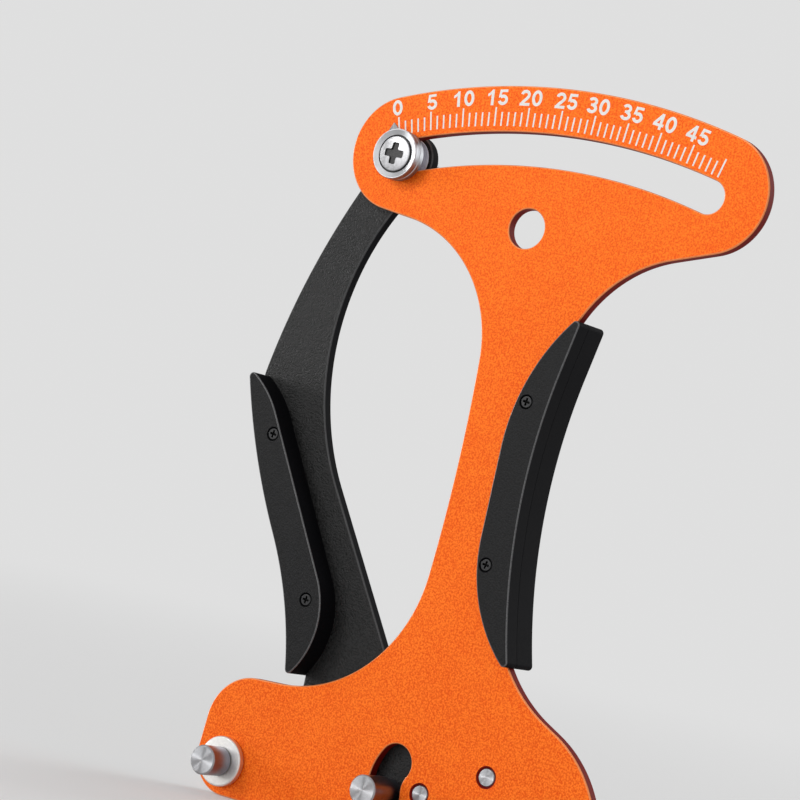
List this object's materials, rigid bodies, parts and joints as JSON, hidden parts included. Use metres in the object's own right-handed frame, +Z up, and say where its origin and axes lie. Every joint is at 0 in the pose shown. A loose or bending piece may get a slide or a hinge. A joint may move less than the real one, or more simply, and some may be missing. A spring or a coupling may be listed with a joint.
{
  "type": "spoke tension meter",
  "caption": "Squeeze-handle tension meter for bicycle spokes: flat plate with an arc scale and slot, pivoting lever with pointer, spoke posts, return spring and moulded grips.",
  "frame": {"origin": "middle of the hanging hole, half way through the plate", "axes": "+X along the spoke toward the right post, +Z up toward the scale, -Y out of the front face with the scale"},
  "size_m": [0.1334, 0.0212, 0.1901],
  "materials": {
    "orange_plate": "satin anodised orange",
    "black_arm": "fine textured black",
    "grip_plastic": "matte dark grey",
    "turned_steel": "turned",
    "collar_alloy": "satin",
    "polished_steel": "polished",
    "plated_steel": "zinc plated",
    "spring_wire": "drawn wire",
    "bronze": "satin",
    "black_screw": "black oxide",
    "glide": "smooth grey"
  },
  "bodies": {
    "frame": {"front_plate": "orange_plate", "left_post": "turned_steel", "right_post": "turned_steel", "left_post_collar": "collar_alloy", "right_post_collar": "collar_alloy", "post_rear_washers": "plated_steel", "pivot_pin": "turned_steel", "pivot_washer": "plated_steel", "pivot_clip": "black_screw", "spring_anchor_pin": "turned_steel", "return_spring": "spring_wire", "right_grip_front": "grip_plastic", "right_grip_rear": "grip_plastic", "right_grip_screws": "black_screw", "right_grip_nuts": "plated_steel"},
    "lever": {"lever_arm": "black_arm", "pivot_bush": "bronze", "moving_post": "turned_steel", "spring_lever_pin": "turned_steel", "left_grip_front": "grip_plastic", "left_grip_rear": "grip_plastic", "left_grip_screws": "black_screw", "left_grip_nuts": "plated_steel", "pointer_screw": "plated_steel", "pointer_washer": "polished_steel", "backing_washer": "polished_steel", "slot_bush": "turned_steel", "glide_washer": "glide", "pointer_rear_washer": "plated_steel", "pointer_nut": "plated_steel"}
  },
  "joints": [
    {"name": "lever_pivot", "type": "hinge", "parent": "frame", "child": "lever", "pos_m": [0.005, 0, -0.1402], "axis": [0, 1, 0], "range_deg": [0, 31.8], "stiffness_Nm_per_rad": 0.6, "springref_deg": -8.59, "deforming": ["return_spring"]}
  ]
}
